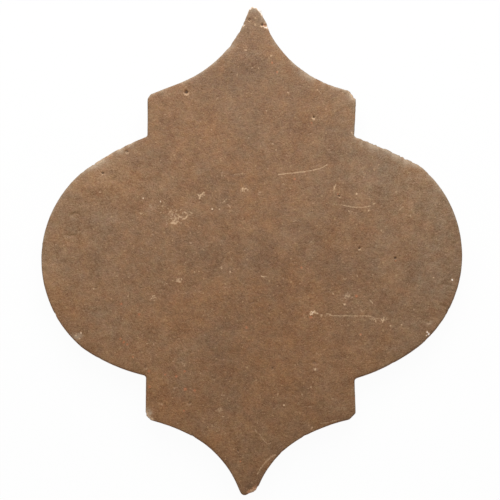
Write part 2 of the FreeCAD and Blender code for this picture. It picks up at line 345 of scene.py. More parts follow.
DENTS = [  # the points it passes, width, depth: pressed in, with no lime in it
    ([(-89.2, 7.6), (-87.3, 7.1), (-85.3, 7.6)], 1.2, 0.32),
    # A round dint
    ([(-86.2, 17.3), (-85, 18), (-83.4, 17.9), (-82.6, 17.2)], 1.4, 0.34),
    ([(-85.6, 16.4), (-83.6, 16.2)], 2.2, 0.2), ([(25.6, -48.5), (27.5, -47.1)], 1, 0.16),
    ([(91.6, -16), (95.6, -16.3), (97.8, -17.8)], 1.2, 0.2), ([(94.7, -18.8), (97.1, -19.5)], 0.9, 0.17),
    ([(92.8, -21.2), (95.2, -22.1)], 0.9, 0.17), ([(91, -26), (92.8, -26.9)], 1.2, 0.18),
    ([(85.6, -31.3), (89.5, -32.6)], 1.4, 0.14), ([(92.2, -14.6), (93.6, -14.9)], 0.8, 0.15),
    ([(87.4, -22.6), (88.6, -24.5)], 1.1, 0.14), ([(92.6, -23.8), (94.6, -24.9)], 0.9, 0.15),
    ([(82.4, -33.2), (84.6, -34.9)], 1.2, 0.13), ([(-66.8, 33.6), (-64.9, 34.7), (-63.6, 36.6)], 1.3, 0.14),
    ([(-76.4, 31.2), (-74.2, 31.9), (-73.4, 33.6)], 1.3, 0.12), ([(-54.6, 40.2), (-52.8, 41.6)], 1.2, 0.12),
]
print(len(SCRATCHES), "scratches and", len(DENTS), "dents")

# %% Beds of crumbs, and soft dust
CRUMB_BEDS = [  # x, y, half its length, half its width, degrees, how pale, how many
    (-35.2, 16.3, 0.7, 0.6, 0, 0.95, 5), (-37.4, 13.5, 1.1, 0.5, 0, 0.9, 6),
    (-36.5, 17.5, 6.5, 4.2, 160, 0.45, 70), (-36.5, 16.5, 3.5, 2.6, 150, 0.55, 34),
    (-24, 26.5, 3.2, 2.4, 40, 0.4, 18), (-3.3, 29.4, 2, 0.9, 10, 1, 20), (3.7, 28, 1.4, 0.8, 0, 0.5, 7),
    (28.9, -29.9, 1.5, 0.9, 50, 1.3, 16), (30.4, -29.8, 1, 0.6, 0, 1, 6),
    (26.6, -31.4, 1.6, 0.7, 40, 0.45, 6), (58, -32.8, 1.6, 0.6, 0, 0.6, 6),
    (62, -33.3, 2.2, 0.8, 175, 0.8, 14), (64.2, -32.6, 1.2, 0.9, 120, 0.6, 6),
    (58.6, -32.6, 2.4, 0.8, 170, 0.5, 10), (46.2, -21.6, 1.9, 1.6, 0, 0.4, 12),
    (43.8, -24.5, 1.6, 1, 70, 0.3, 5), (47.4, 18.9, 1.3, 0.9, 0, 0.6, 6), (76, 16.8, 1, 0.6, 90, 0.5, 4),
    (-46.8, -22.6, 1.8, 1.4, 0, 0.7, 11), (-35.3, -14, 1.6, 1, 35, 0.9, 15),
    (-41.9, -15.9, 1, 0.8, 0, 0.5, 5), (-14.3, -8.1, 1, 0.7, 0, 0.6, 6), (-63.3, -9.4, 1, 0.8, 0, 0.35, 4),
    (-65.2, -12.4, 1.2, 0.7, 30, 0.4, 4), (70.7, -8.9, 1.2, 0.7, 0, 0.35, 4),
    (78.3, -1.8, 1.1, 0.7, 0, 0.3, 4), (1, 93.5, 6.5, 3.6, 0, 0.25, 26), (-8, 70, 40, 16, 0, 0.2, 60),
    (-60, 34, 18, 9, 30, 0.25, 40), (-14, -86, 14, 5, 0, 0.25, 30), (36, -34, 14, 5, 0, 0.25, 30),
    (88, -27, 14, 7, 65, 0.25, 40), (46.2, -22, 2.6, 2, 0, 0.5, 12),
]
DUST = [  # x, y, reach across, reach along, how much
    (-47.9, 21.6, 1.8, 1.2, 0.45), (46.2, -21.6, 2.2, 1.8, 0.35), (-35, 16.5, 6, 3.4, 0.2),
    (1, 94.5, 6.5, 2.8, 0.2), (-33, -49, 8, 6.5, 0.12), (70, -47, 4.5, 2, 0.3), (44.3, -75, 2, 1.8, 0.25),
    (-83.5, -40.8, 2.2, 1.6, 1), (-48.6, -78.4, 1.6, 2, 0.9), (-50, 10, 10, 14, 0.08),
    (84.9, -34.3, 2.4, 1.6, 0.35), (30.6, -56.9, 1.4, 1, 0.3), (-32.3, 23, 1.8, 1.4, 0.2),
    (90, 30, 3, 8, 0.12),
]
print(len(CRUMB_BEDS), "beds of crumbs and", len(DUST), "dusty places")

# %% Broad patches, partly from the kiln and partly painted light and shade, and flecks of bare clay
PATCHES = [  # x, y, reach across, reach along, percent lighter, percent warmer
    # Cooler, partly a painted grey sheen: the right bulge, the left bulge and the upper point
    (96, 2, 34, 42, 7, -26), (60, 38, 22, 14, 4, -14), (54, 6, 16, 12, 2, -7), (66, -30, 13, 8, 1, -9),
    (-88, 14, 28, 26, 13, -16), (-60, 2, 13, 14, 0, -6), (-72, 42, 16, 8, 6, -9), (1, 113, 10, 16, -1, -18),
    (-14, 86, 10, 8, -2, -7), (47, 64, 10, 20, 5, -18), (82, 32, 14, 12, 6, -8), (46, 41, 9, 7, 2, -7),
    (46, 12, 8, 7, 0, -7), (-82, 12, 10, 8, 2, -6), (-74, 41, 8, 6, 3, -6), (2, 104, 7, 12, 3, -6),
    (72, -31, 20, 6, 0, -6), (-56, -2, 8, 6, -4, -5), (0, -78, 11, 6, 0, -8), (-14, -26, 9, 6, 1, -4),
    (-66, -32, 8, 6, 0, -3),
    # Warmer: the middle, the lower neck and the lower left
    (-44, -30, 10, 9, 2, 11), (-62, -50, 13, 9, 1, 10), (-36, -76, 18, 13, 0, 17), (-45, -60, 9, 10, 0, 11),
    (2, -42, 18, 17, 0, 14), (-12, -26, 10, 9, 0, 8), (32, -42, 13, 10, 0, 10), (34, -70, 18, 12, -3, 12),
    (24, -16, 12, 10, 0, 6), (-2, -14, 12, 8, 0, 8), (-14, 12, 15, 10, 2, 9), (-38, 14, 10, 10, 2, 5),
    (-26, 54, 12, 12, 0, 5), (-36, 38, 10, 8, 2, 6), (8, 92, 8, 9, 2, 5), (17, -3, 9, 7, 0, 7),
    (-1, -52, 12, 10, -5, 8), (-27, -74, 9, 7, 0, 8), (-28, -18, 18, 8, 0, 6), (45, -67, 9, 9, -4, 6),
    (0, -100, 34, 24, -4, 7), (24, -50, 40, 30, 0, 4), (20, -20, 20, 16, 0, 4), (-35, 23.5, 5, 3, 4, 9),
    (30, 12, 7, 6, 0, 7),
    # Lighter: painted light on the shoulders and the left edge, and lighter clay at some places in the
    # middle
    (-74, 38, 12, 8, 16, 0), (-99, -8, 9, 18, 14, 0), (-50, 30, 14, 9, 10, 0), (-88, -26, 12, 12, 9, 0),
    (-57, -33, 8, 7, 11, 0), (-68, -45, 16, 8, 9, 0), (-41, -10, 12, 8, 5, 0), (-28, -52, 9, 7, 7, 0),
    (-26, 46, 12, 8, 5, 0), (80, 34, 15, 12, 15, 0), (93, 14, 12, 18, 10, 0), (50, 17, 11, 9, 10, 0),
    (44, 32, 9, 8, 8, 0), (62, 28, 9, 6, 7, 0), (46, 72, 7, 10, 18, 0), (-38, 75, 12, 8, 13, 0),
    (15, 55, 8, 7, 6, 0), (-5, -89, 6, 6, 11, 0), (78, -8, 10, 9, 7, 0), (44, -54, 12, 6, 6, 0),
    (36, -32, 12, 5, 5, 0), (-84, 24, 12, 13, 7, -6), (-71, 41, 9, 7, 5, -5), (-99, -3, 7, 12, 6, 0),
    (-50, 27, 14, 8, 5, 2), (76, 41, 9, 7, 10, -6), (90, 20, 8, 14, 7, -4), (80, 39, 8, 7, 7, 5),
    (46, 71, 6, 6, 7, -6), (-43, 70, 6, 6, 6, 0), (-57, -31, 7, 6, 8, 0), (-43, -45, 8, 7, 5, 2),
    (-72, -45, 8, 6, 5, 0), (30, -60, 8, 6, 5, 0),
    # Darker: soft marks left by the kiln or by grease, and painted shade towards the lower point
    (2, -52, 18, 10, -5, 2), (8, -8, 18, 14, -4, 2), (-13, -47, 7, 10, -4, 2), (59, -2, 8, 7, -5, 0),
    (-6, 83, 14, 8, -17, 0), (28, 72, 12, 9, -9, 0), (-13, 27, 10, 8, -10, 0), (12, 36, 10, 6, -5, 0),
    (-26, -2, 12, 6, -10, 0), (2, 0, 10, 7, -12, 0), (20, 2, 12, 6, -6, 0), (11, -17, 12, 9, -13, 0),
    (44, -12, 11, 9, -14, 0), (2, -34, 12, 8, -9, 0), (-16, -42, 7, 12, -12, 0), (-46, -26, 9, 6, -8, 0),
    (43, -40, 9, 6, -8, 0), (5, -58, 34, 28, -6, 0), (36, -77, 18, 9, -7, 0), (17, -91, 13, 9, -10, 0),
    (-1, -112, 9, 11, -17, 0), (86, -42, 13, 8, -8, 0), (-13, -70, 9, 9, -4, 0),
    (-1.8, -112.6, 2.6, 1.7, -20, 0),
]
FLECKS = [  # x, y, width: bare orange clay
    (-54, -30.4, 1.3), (-61.4, -43.7, 1.4), (-63, -42.2, 1.1), (-59.8, -44.8, 1.3), (-49.1, -65.2, 1.4),
    (-41.5, -59.3, 1), (-32, -66.3, 1.8), (-27.4, -66.9, 1.5), (-36.2, -60.1, 1.4), (-32.1, -57.7, 1.2),
    (-32.6, -76.6, 1.3), (28.7, 61.5, 0.9), (9.7, 90.3, 1.3), (12.1, 85.9, 1), (5.8, 108.3, 1.2),
    (-2.5, -36.8, 1.3), (-5.5, -101, 1), (41.3, 27.2, 0.8), (69, -4.7, 0.9), (-62.6, -25.4, 1.2),
    (-49.3, -57.6, 1.5), (20.6, 34.6, 1.1), (-57, -50.8, 1.2), (23.8, -8, 1.2), (6.1, 107.8, 0.9),
    (28.3, -31.6, 1.5), (50.2, -21.6, 1.6), (49.4, -70.9, 1.2), (-0.9, -115.4, 1.5), (0.3, -115.3, 1.2),
    (52.2, -40.2, 1.3),
]
print(len(PATCHES), "patches and", len(FLECKS), "flecks of bare clay")

# %% Scatter the smallest marks
chance = np.random.default_rng(7)
LOOSE_PITS, LOOSE_SPECKS = 170, 150


def scatter(count):
    """Places over the tile's bounding rectangle."""
    low, high = clean_rim.min(axis=0), clean_rim.max(axis=0)
    return chance.uniform(low, high, (count, 2))


def crumbs_in(x, y, half_length, half_width, degrees, pale, count):
    """The crumbs of one bed: x, y, width and how pale."""
    turn = math.radians(degrees)
    found = []
    for _ in range(count):
        on, off = chance.normal(0, 0.5, 2) * (half_length, half_width)
        found.append((x + on * math.cos(turn) - off * math.sin(turn),
                      y + on * math.sin(turn) + off * math.cos(turn),
                      chance.uniform(0.5, 0.9), pale * chance.uniform(0.5, 1.1)))
    return found


loose_pits = [
    (x, y, chance.uniform(0.5, 1.1), chance.uniform(0.1, 0.25), chance.uniform(0, 0.5))
    for x, y in scatter(LOOSE_PITS)
]
loose_specks = [
    (x, y, chance.uniform(0.5, 1.0), chance.uniform(0.15, 0.5))
    for x, y in scatter(LOOSE_SPECKS)
]
bed_crumbs = [crumb for bed in CRUMB_BEDS for crumb in crumbs_in(*bed)]
all_pits, all_specks = PITS + loose_pits, SPECKS + loose_specks + bed_crumbs
print(len(all_pits), "pits and", len(all_specks), "specks with the scattered ones")

# %% [markdown]
# ## Points for the face
# Relief needs points to carry it. One fine grid over the whole face would be
# very large, so an even grid of about a millimetre covers the plain clay and a
# grid three times as fine goes wherever there is a mark. Rows of points follow
# the rim, because the worn edge curves fastest there. A Delaunay triangulation
# then joins points of any spacing into well-shaped triangles.

# %% How far inside the rim a point lies
rim_finder = kdtree.KDTree(len(rim))
for number, (x, y) in enumerate(rim):
    rim_finder.insert((x, y, 0), number)
rim_finder.balance()


def inside(points):
    """How far inside the rim each point is, and the nearest place on the rim."""
    nearest = np.array([rim_finder.find((x, y, 0))[1] for x, y in points])
    away = points - rim[nearest]
    return -np.sum(away * outward[nearest], axis=1), nearest


print("rim points to look up:", len(rim))

# %% Grids over the plain clay and over the marks
PLAIN_STEP, MARK_STEP = 0.9, 0.3
SCRATCH_STEP = 0.6  # between two round places along a scratch


def honeycomb(low, high, step):
    """Points in a triangular grid over a rectangle."""
    across = np.arange(low[0], high[0], step)
    up = np.arange(low[1], high[1], step * math.sqrt(0.75))
    x, y = np.meshgrid(across, up)
    x[1::2] += step / 2
    return np.column_stack([x.ravel(), y.ravel()])


fine_places = [(x, y, width * 0.5 + 0.35) for x, y, width, *_ in all_pits + all_specks]
fine_places += [(x, y, width * 0.5 + 0.3) for x, y, width in FLECKS]
fine_places += [(x, y, half + 0.5) for x, y, half, *_ in CHIPS]
for path, width, *_ in SCRATCHES + DENTS:
    fine_places += [(x, y, width + 0.3) for x, y in even_steps(path, SCRATCH_STEP)]

low, high = rim.min(axis=0) - 1, rim.max(axis=0) + 1
plain = honeycomb(low, high, PLAIN_STEP)
plain += chance.normal(0, 0.1 * PLAIN_STEP, plain.shape)
fine = np.zeros((0, 2))
for x, y, reach in fine_places:
    there = np.array((x, y))
    patch = honeycomb(there - reach, there + reach, MARK_STEP)
    patch = patch[np.hypot(*(patch - there).T) < reach]
    patch += chance.normal(0, 0.08 * MARK_STEP, patch.shape)
    plain = plain[np.hypot(*(plain - there).T) > reach + 0.1]
    fine = fine[np.hypot(*(fine - there).T) > reach]
    fine = np.vstack([fine, patch])
print(len(plain), "plain points and", len(fine), "fine ones")

# %% Rows along the rim
EDGE_ROWS = (0.3, 0.55, 0.8, 1.05)  # shares of the worn edge's width


def row_inside(share):
    """A row of points at a share of the worn edge's width inside the rim."""
    return rim - outward * (arris * share)[:, None]


edge_row = row_inside(EDGE_ROWS[0])
inner_rows = []
for share in EDGE_ROWS[1:]:
    row = row_inside(share)
    depth, _ = inside(row)
    true_row = np.abs(depth - arris * share) < 0.12
    inner_rows.append(row[true_row])

grid = np.vstack([plain, fine])
depth, nearest = inside(grid)
grid = grid[depth > arris[nearest] * EDGE_ROWS[-1] + 0.3]
print("points on the face:", len(edge_row) + sum(map(len, inner_rows)) + len(grid))

# %% Join them into triangles
def fills_a_hollow(triangle, order):
    """True for a triangle outside the ring. It joins three of the ring's points,
    and meets them in the wrong order."""
    steps = [order.get(corner) for corner in triangle]
    if None in steps:
        return False
    a, b, c = steps
    return not (a < b < c or b < c < a or c < a < b)


def triangulate(ring, others):
    """Triangles inside a closed ring: points, triangles and where the ring went."""
    points = np.vstack([ring, others])
    count = len(ring)
    fence = [(i, (i + 1) % count) for i in range(count)]
    places, _, faces, origin, _, _ = delaunay_2d_cdt(
        [Vector(p) for p in points], fence, [], 1, 1e-6, True)
    went = {old: new for new, olds in enumerate(origin) for old in olds}
    order = {went[i]: i for i in range(count)}
    inner = [list(f) for f in faces if not fills_a_hollow(f, order)]
    return np.array(places), inner, [went[i] for i in range(count)]


face_xy, face_triangles, face_ring = triangulate(edge_row, np.vstack(inner_rows + [grid]))
print(len(face_triangles), "triangles on the face")

# %% [markdown]
# ## Carve the face
# Each point now gets a height. Rolled clay is never quite flat, so it rises and falls by a tenth of a
# millimetre or two, and its skin is finely lumpy. Then each mark takes its bit away. Every mark also notes
# what it does to the surface: lime, bare clay, dust or a rubbed edge, and warmth and lightness. Some notes
# are painted light and shade: painted shade in pits and along edges that face down the picture, a painted
# highlight on rubbed edges that face up it and on the lower lip of a pit, and in part the lighter and
# darker patches. The notes are kept on the mesh's points, and the material reads them later, so that relief
# and colour always agree.

# %% Height of the plain, worn face
NOTES = ("lime", "chalk", "bare", "grime", "rubbed", "warmth", "lightness")
ROLLED_WAVES = [(0.09, 45, 11), (0.03, 11, 12)]  # height, length and seed of each wave
LUMPS = [(0.038, 3.1, 13), (0.030, 1.8, 14)]
LUMP_MIDDLE = 0.07  # keeps the highest lump below the top of the slab
LUMPY = [(92, -24, 17, 2.4), (-70, 30, 20, 0.8)]  # x, y, reach, how much lumpier it is
FOOT_WEAR, FOOT_REACH = 0.24, 2.2  # feet wear the face down towards its edges


def rounded_edge(depth, width):
    """How far the worn edge has dropped, at a depth inside the rim."""
    left = np.clip(1 - depth / width, 0, 1)
    return width * (1 - np.sqrt(1 - left ** 2))


depth, nearest = inside(face_xy)
depth = np.maximum(depth, 0)
drop = rounded_edge(depth, arris[nearest])
drop += waviness(face_xy, ROLLED_WAVES)
lumpy = 1 + sum(much * nearness(face_xy, x, y, reach) for x, y, reach, much in LUMPY)
lumps = sum(high * drift(face_xy, size, seed) for high, size, seed in LUMPS)
drop += LUMP_MIDDLE + lumpy * lumps
drop += FOOT_WEAR * np.exp(-depth / FOOT_REACH)
note = {name: np.zeros(len(face_xy)) for name in NOTES}
print("plain face: up to", round(drop[depth > 8].max(), 2), "mm below the top")

# %% Carve the pits and raise the specks
def round_distance(x, y, radius, wobble):
    """Distance from a place in radii, for a mark with an uneven outline; and where."""
    near = np.flatnonzero(np.hypot(face_xy[:, 0] - x, face_xy[:, 1] - y) < 3.2 * radius)
    away = face_xy[near] - (x, y)
    uneven = 1 + wobble * drift(face_xy[near], radius, x + y)
    return np.hypot(*away.T) / radius * uneven, away, near


# Each pit's bowl gets painted shade, deeper pits more, and its lower lip pale lime that is partly a painted
# highlight.
for x, y, width, deep, lime in all_pits:
    far, away, near = round_distance(x, y, width / 2, 0.45)
    bowl = np.clip(1 - far ** 2, 0, 1)
    lip = np.exp(-((far - 1.05) / 0.35) ** 2)
    lit_lower_side = np.clip(0.25 - away[:, 1] / (width / 2), 0, 1)
    drop[near] += deep * bowl ** 0.7
    note["grime"][near] += bowl * np.clip((deep - 0.1) / 0.3, 0, 1)
    note["lime"][near] += lime * lip * lit_lower_side

for x, y, width, pale in all_specks:
    far, away, near = round_distance(x, y, width / 2, 0.5)
    grain = np.clip(1.25 - far ** 2, 0, 1)
    drop[near] -= 0.04 * pale * grain
    note["lime"][near] = np.maximum(note["lime"][near], pale * grain)
print("deepest pit:", round(max(p[3] for p in all_pits), 2), "mm")

# %% Carve scratches and dents, and lay dust
def path_distance(points, path):
    """Distance of points from a run of straight lines, and how far along it."""
    best = np.full(len(points), 1e9)
    along = np.zeros(len(points))
    walked = 0.0
    for start, end in zip(np.array(path[:-1]), np.array(path[1:])):
        run = end - start
        length = np.linalg.norm(run)
        share = np.clip((points - start) @ run / length ** 2, 0, 1)
        far = np.linalg.norm(points - start - share[:, None] * run, axis=1)
        closer = far < best
        best[closer], along[closer] = far[closer], (walked + share * length)[closer]
        walked += length
    return best, along


for number, (path, width, pale, shown) in enumerate(SCRATCHES):
    far, along = path_distance(face_xy, path)
    near = np.flatnonzero(far < 3 * width)
    line = np.exp(-(far[near] / (0.55 * width)) ** 2)
    skip = 0.7 * drift(np.column_stack([along[near], far[near]]), 1.6, 20 + number)
    skip += 0.7 * drift(face_xy[near], 0.8, 50 + number)
    broken = np.clip((skip + 2 * shown - 1) * 2 + 0.4, 0, 1)
    drop[near] += 0.03 * line * broken
    note["lime"][near] = np.maximum(note["lime"][near], pale * line * broken)

for path, width, deep in DENTS:
    far, _ = path_distance(face_xy, path)
    drop += deep * np.exp(-(far / (0.5 * width)) ** 2)

for x, y, across, along, much in DUST:
    far = np.hypot((face_xy[:, 0] - x) / across, (face_xy[:, 1] - y) / along)
    near = np.flatnonzero(far < 2.5)
    uneven = np.clip(1 + drift(face_xy[near], 2.2, 41) + 0.7 * drift(face_xy[near], 0.9, 40), 0, 2)
    note["rubbed"][near] += much * np.exp(-far[near] ** 2) * uneven
print("points with lime:", int(np.sum(note["lime"] > 0.2)))

# %% Patches, flecks and chips
for x, y, across, along, lighter, warmer in PATCHES:
    far = np.hypot((face_xy[:, 0] - x) / across, (face_xy[:, 1] - y) / along)
    note["lightness"] += lighter / 100 * np.exp(-far ** 2)
    note["warmth"] += warmer / 100 * np.exp(-far ** 2)

for x, y, width in FLECKS:
    far, away, near = round_distance(x, y, width / 2, 0.5)
    note["bare"][near] += 0.85 * np.clip(1.3 - far ** 2, 0, 1)

for x, y, half, inwards, down, fresh, lime in CHIPS:
    near = np.flatnonzero(np.hypot(face_xy[:, 0] - x, face_xy[:, 1] - y) < 2.5 * half)
    share = nearness(face_xy[near], x, y, 0.9 * half)
    broken = np.clip(share * (1.2 + 0.8 * drift(face_xy[near], 0.9, x)), 0, 1)
    at_edge = np.exp(-(depth[near] / (0.5 * half)) ** 2)
    drop[near] += 0.3 * down * broken * at_edge
    note["bare"][near] += fresh * broken * at_edge
    note["lime"][near] += lime * broken * at_edge * (1 + 0.6 * drift(face_xy[near], 0.7, y))

for x, y, half, wide, deep, fresh, lime in BREAKS:
    share = np.clip(1.4 * nearness(face_xy, x, y, 1.3 * half), 0, 1)
    uneven = 1 + 0.25 * drift(face_xy, 0.9, x)
    slope = share * np.clip(1 - depth / wide, 0, 1) * uneven
    broken = np.clip(2.5 * slope, 0, 1)
    drop += deep * slope
    note["bare"] += fresh * broken
    note["lime"] += lime * broken * (1 + 0.8 * drift(face_xy, 0.7, y))
    note["grime"] *= 1 - broken

# Along the rim there is a pale rubbed band, which is also a painted highlight, strongest where the rim
# faces up the picture, towards the lamp.
upward = outward[nearest][:, 1]  # 1 where the rim looks up the picture
rub_and_highlight_reach = 1.1 + 0.6 * crumbly[nearest]  # the rubbed band and its painted highlight reach further in on crumbly stretches
rub = np.exp(-depth / rub_and_highlight_reach) * np.clip(0.55 + 0.7 * upward, 0, 1)
patchy = np.clip(0.75 + 0.8 * drift(face_xy, 4, 50) + 0.5 * drift(face_xy, 1.1, 51), 0, 1.4)
note["rubbed"] += rub * patchy * np.minimum(1 + 0.5 * crumbly[nearest], 1.8)
# Painted shade along the rim where it faces down the picture, away from the lamp.
note["grime"] += 0.4 * np.exp(-depth / 0.8) * np.clip(0.25 - upward, 0, 1)
note["bare"] += 0.6 * np.exp(-depth / 0.4) * np.clip(-upward, 0, 1)  # bare orange clay along the edges that face down the picture
note["chalk"] = np.clip(note["lime"] - 1, 0, 1)  # lime that lies thick is white
print("bare clay on", int(np.sum(note["bare"] > 0.3)), "points")

# %% [markdown]
# ## Sides and back
# The sides were cut with a wire or a knife and are a little drawn and hollow.
# The back lay on sand and took its dents. Neither shows from above, but a tile
# is handled from all sides. Rows of points run down from the face to the back,
# and strips of four-cornered faces join them. The back is a coarse
# triangulation of its own.

# %% Rows down the sides
TOP_SHARES = (0.12, 0.03, 0.0)  # of the worn edge's width
SIDE_DROPS = (0.45, 0.9, 1.5, 2.4, 4.0, 6.5, 9.0, 11.5)  # below the worn edge
LOWEST_SIDE_ROW = 1.6  # above the floor
BACK_EDGE = [(0.06, 0.5), (0.16, 0.17), (0.42, 0.02)]  # how far in, how high up
HOLLOW = 0.12  # how hollow the cut sides are at half height
# The sides and the back are a little darker all over, and the foot of the sides, where the tile meets the
# floor, gets painted shade.
SIDE_DARKENING, BACK_EDGE_SHADE, BACK_DARKENING = 0.12, 0.2, 0.1
rim_count = len(rim)


def side_row(inwards, height):
    """One row of points round the tile, at a depth inside the clean rim."""
    return np.column_stack([clean_rim - outward * inwards[:, None], height])


def row_notes(count, **values):
    """A row's notes, which are nothing except where a value is given."""
    row = {name: np.zeros(count) for name in NOTES}
    row.update(values)
    return row


def along_rim(column):
    """One column of the chips and breaks, spread along the rim."""
    return sum(row[column] * nearness(clean_rim, *row[:3]) for row in CHIPS + BREAKS)


fresh_edge = np.clip(along_rim(5), 0, 1)
lime_edge = np.clip(along_rim(6), 0, 2)
rows, notes = [], []
edge_fall = rounded_edge(arris * EDGE_ROWS[0], arris)
sunk = np.maximum(drop[face_ring] - edge_fall, 0)  # how far the face itself has sunk
# The top rows of the sides carry a painted highlight where they face up the picture, and painted shade
# where they face down, where they are also bare orange clay.
for share in TOP_SHARES:
    fallen = rounded_edge(arris * share, arris)
    rows.append(side_row(edge_loss + arris * share, FACE - fallen - sunk))
    notes.append(row_notes(
        rim_count, bare=np.clip(fresh_edge + 0.9 * np.clip(-outward[:, 1], 0, 1), 0, 1),
        lime=0.7 * np.minimum(lime_edge, 1),
        chalk=np.clip(lime_edge - 1, 0, 1),
        rubbed=0.6 * np.clip(0.4 + 0.6 * outward[:, 1], 0, 1),
        grime=0.2 * np.clip(0.3 - outward[:, 1] - lime_edge - fresh_edge, 0, 1),
    ))
side_top = rows[-1][:, 2]
for number, fall in enumerate(SIDE_DROPS):
    fade = np.clip(1 - fall / (1.5 * chip_down), 0, 1)
    drawn = waviness(clean_rim + fall * 0.3, [(0.07, 9, 61)])
    drawn += waviness(clean_rim, [(0.05, 2.2, 62 + number)])
    hollow = HOLLOW * math.sin(math.pi * fall / FACE)
    height = side_top - fall * (side_top - LOWEST_SIDE_ROW) / SIDE_DROPS[-1]
    crumbled = ragged * (1 - 0.05 * fall) + chip_in * fade
    rows.append(side_row(np.maximum(crumbled, drawn + hollow), height))
    notes.append(row_notes(rim_count, bare=fresh_edge * fade, lime=0.5 * lime_edge * fade,
                           grime=np.full(rim_count, SIDE_DARKENING)))
for inwards, height in BACK_EDGE:
    knocked = waviness(clean_rim, [(0.05, 2.6, 80)])
    rows.append(side_row(inwards + knocked, np.full(rim_count, height)))
    notes.append(row_notes(rim_count, grime=np.full(rim_count, BACK_EDGE_SHADE)))
print(len(rows), "rows down the sides")

# %% The back
BACK_STEP = 2.6
SAND_DENTS = [(0.10, 16, 90), (0.05, 5, 91)]  # waves, as on the face
BACK_IN, SECOND_ROW_IN, GRID_IN = 0.95, 2.1, 3.6  # inside the clean rim
LEAST_ROW_DEPTH = 1.7  # a point that a corner brings nearer to the rim is left out

back_edge = clean_rim - outward * BACK_IN
back_grid = honeycomb(low, high, BACK_STEP)
back_grid += chance.normal(0, 0.15 * BACK_STEP, back_grid.shape)
back_row = (clean_rim - outward * SECOND_ROW_IN)[::3]
back_row = back_row[inside(back_row)[0] > LEAST_ROW_DEPTH]
back_grid = back_grid[inside(back_grid)[0] > GRID_IN]
back_xy, back_triangles, back_ring = triangulate(back_edge, np.vstack([back_row, back_grid]))
back_depth, _ = inside(back_xy)
back_z = waviness(back_xy, SAND_DENTS) * np.clip((back_depth - 1.2) / 4, 0, 1)
print(len(back_triangles), "triangles on the back")

# %% [markdown]
# ## One mesh
# Face, sides and back are sewn together at their shared rows, so the tile is
# one closed skin with no gap and no loose face. The notes go onto the mesh as
# point attributes.

# %% Sew the parts together
face_xyz = np.column_stack([face_xy, np.clip(FACE - drop, 0, FACE)])
back_xyz = np.column_stack([back_xy, back_z])
points = np.vstack([face_xyz] + rows + [back_xyz])
faces = [list(t) for t in face_triangles]
first = len(face_xyz)
rings = [list(face_ring)]
for row in rows:
    rings.append(list(range(first, first + len(row))))
    first += len(row)
rings.append([first + i for i in back_ring])
for upper, lower in zip(rings[:-1], rings[1:]):
    for i in range(rim_count):
        j = (i + 1) % rim_count
        faces.append([upper[i], lower[i], lower[j], upper[j]])
faces += [[first + i for i in reversed(t)] for t in back_triangles]

low_corner, high_corner = (np.array(corner[:2]) / MM for corner in slab_box)
points[:, :2] = np.clip(points[:, :2], low_corner, high_corner)

mesh = bpy.data.meshes.new("fired_clay_tile")
mesh.from_pydata((points * MM).tolist(), [], faces)
back_notes = row_notes(len(back_xyz), grime=np.full(len(back_xyz), BACK_DARKENING))
for name in NOTES:
    values = np.concatenate([note[name]] + [n[name] for n in notes] + [back_notes[name]])
    written = mesh.attributes.new(name, "FLOAT", "POINT")
    written.data.foreach_set("value", np.clip(values, -1.5, 1.5).astype(np.float32))
mesh.shade_smooth()
mesh.validate()
mesh.update()

tile = add_object("fired_clay_tile", mesh)
mesh.calc_loop_triangles()
print("tile:", len(mesh.loop_triangles), "triangles")

# %% Check that the skin is closed
skin = bmesh.new()
skin.from_mesh(mesh)
open_edges = [e for e in skin.edges if len(e.link_faces) != 2]
volume = skin.calc_volume(signed=True) / MM ** 3 / 1000
skin.free()
print("open edges:", len(open_edges), "- volume:", round(volume, 1), "cm3")

# %% [markdown]
# ## The material: unglazed fired clay
# The clay is terracotta with sand in it, fired without a glaze and then stained brown with oil or wax. It
# is dull, because its skin is full of tiny pores, and its colour is cloudy: the kiln gave warm and grey
# patches, though some of the grey is a painted sheen, and sand and lime give it fine pale and dark grains.
# Some of the colour is painted light and shade: lighter shoulders, a darker lower point, painted shade in
# pits and on edges that face down, and a painted highlight on edges that face up. Colours are written as
# they look in a picture, and one function turns them to the linear light that Blender mixes.

# %% Colours, and short ways to add nodes
def linear(hex_colour):
    """An sRGB hex colour in linear light."""
    def channel(value):
        value /= 255
        return value / 12.92 if value <= 0.04045 else ((value + 0.055) / 1.055) ** 2.4
    number = int(hex_colour.lstrip("#"), 16)
    return tuple(channel(number >> shift & 255) for shift in (16, 8, 0)) + (1.0,)


def empty_tree(owner):
    """The node tree of a material or a world, with nothing in it yet."""
    owner.use_nodes = True
    owner.node_tree.nodes.clear()
    return owner.node_tree


def add_node(tree, kind, inputs=None, **settings):
    """Adds a node. `inputs` gives each input a value or another node's output."""
    node = tree.nodes.new("ShaderNode" + kind)
    for name, value in settings.items():
        setattr(node, name, value)
    for name, value in (inputs or {}).items():
        if isinstance(value, bpy.types.NodeSocket):
            tree.links.new(value, node.inputs[name])
        else:
            node.inputs[name].default_value = value
    return node


def maths(tree, operation, *values, kind="Math"):
    """One step of arithmetic on values or on other nodes' outputs."""
    return add_node(tree, kind, dict(enumerate(values)), operation=operation).outputs[0]


def vector_maths(tree, operation, *values):
    """The same for a colour or a place, which has three parts."""
    return maths(tree, operation, *values, kind="VectorMath")


clay = bpy.data.materials.new("unglazed_stained_clay")
tree = empty_tree(clay)
print("material:", clay.name)

# %% [markdown]
# ### Noise with real sizes
# Wet clay is never mixed evenly, so it is cloudy from a thumb's width down to
# its sand. Each noise is measured in the tile's own millimetres, so its patches
# keep their real size, and it starts somewhere else in the pattern.

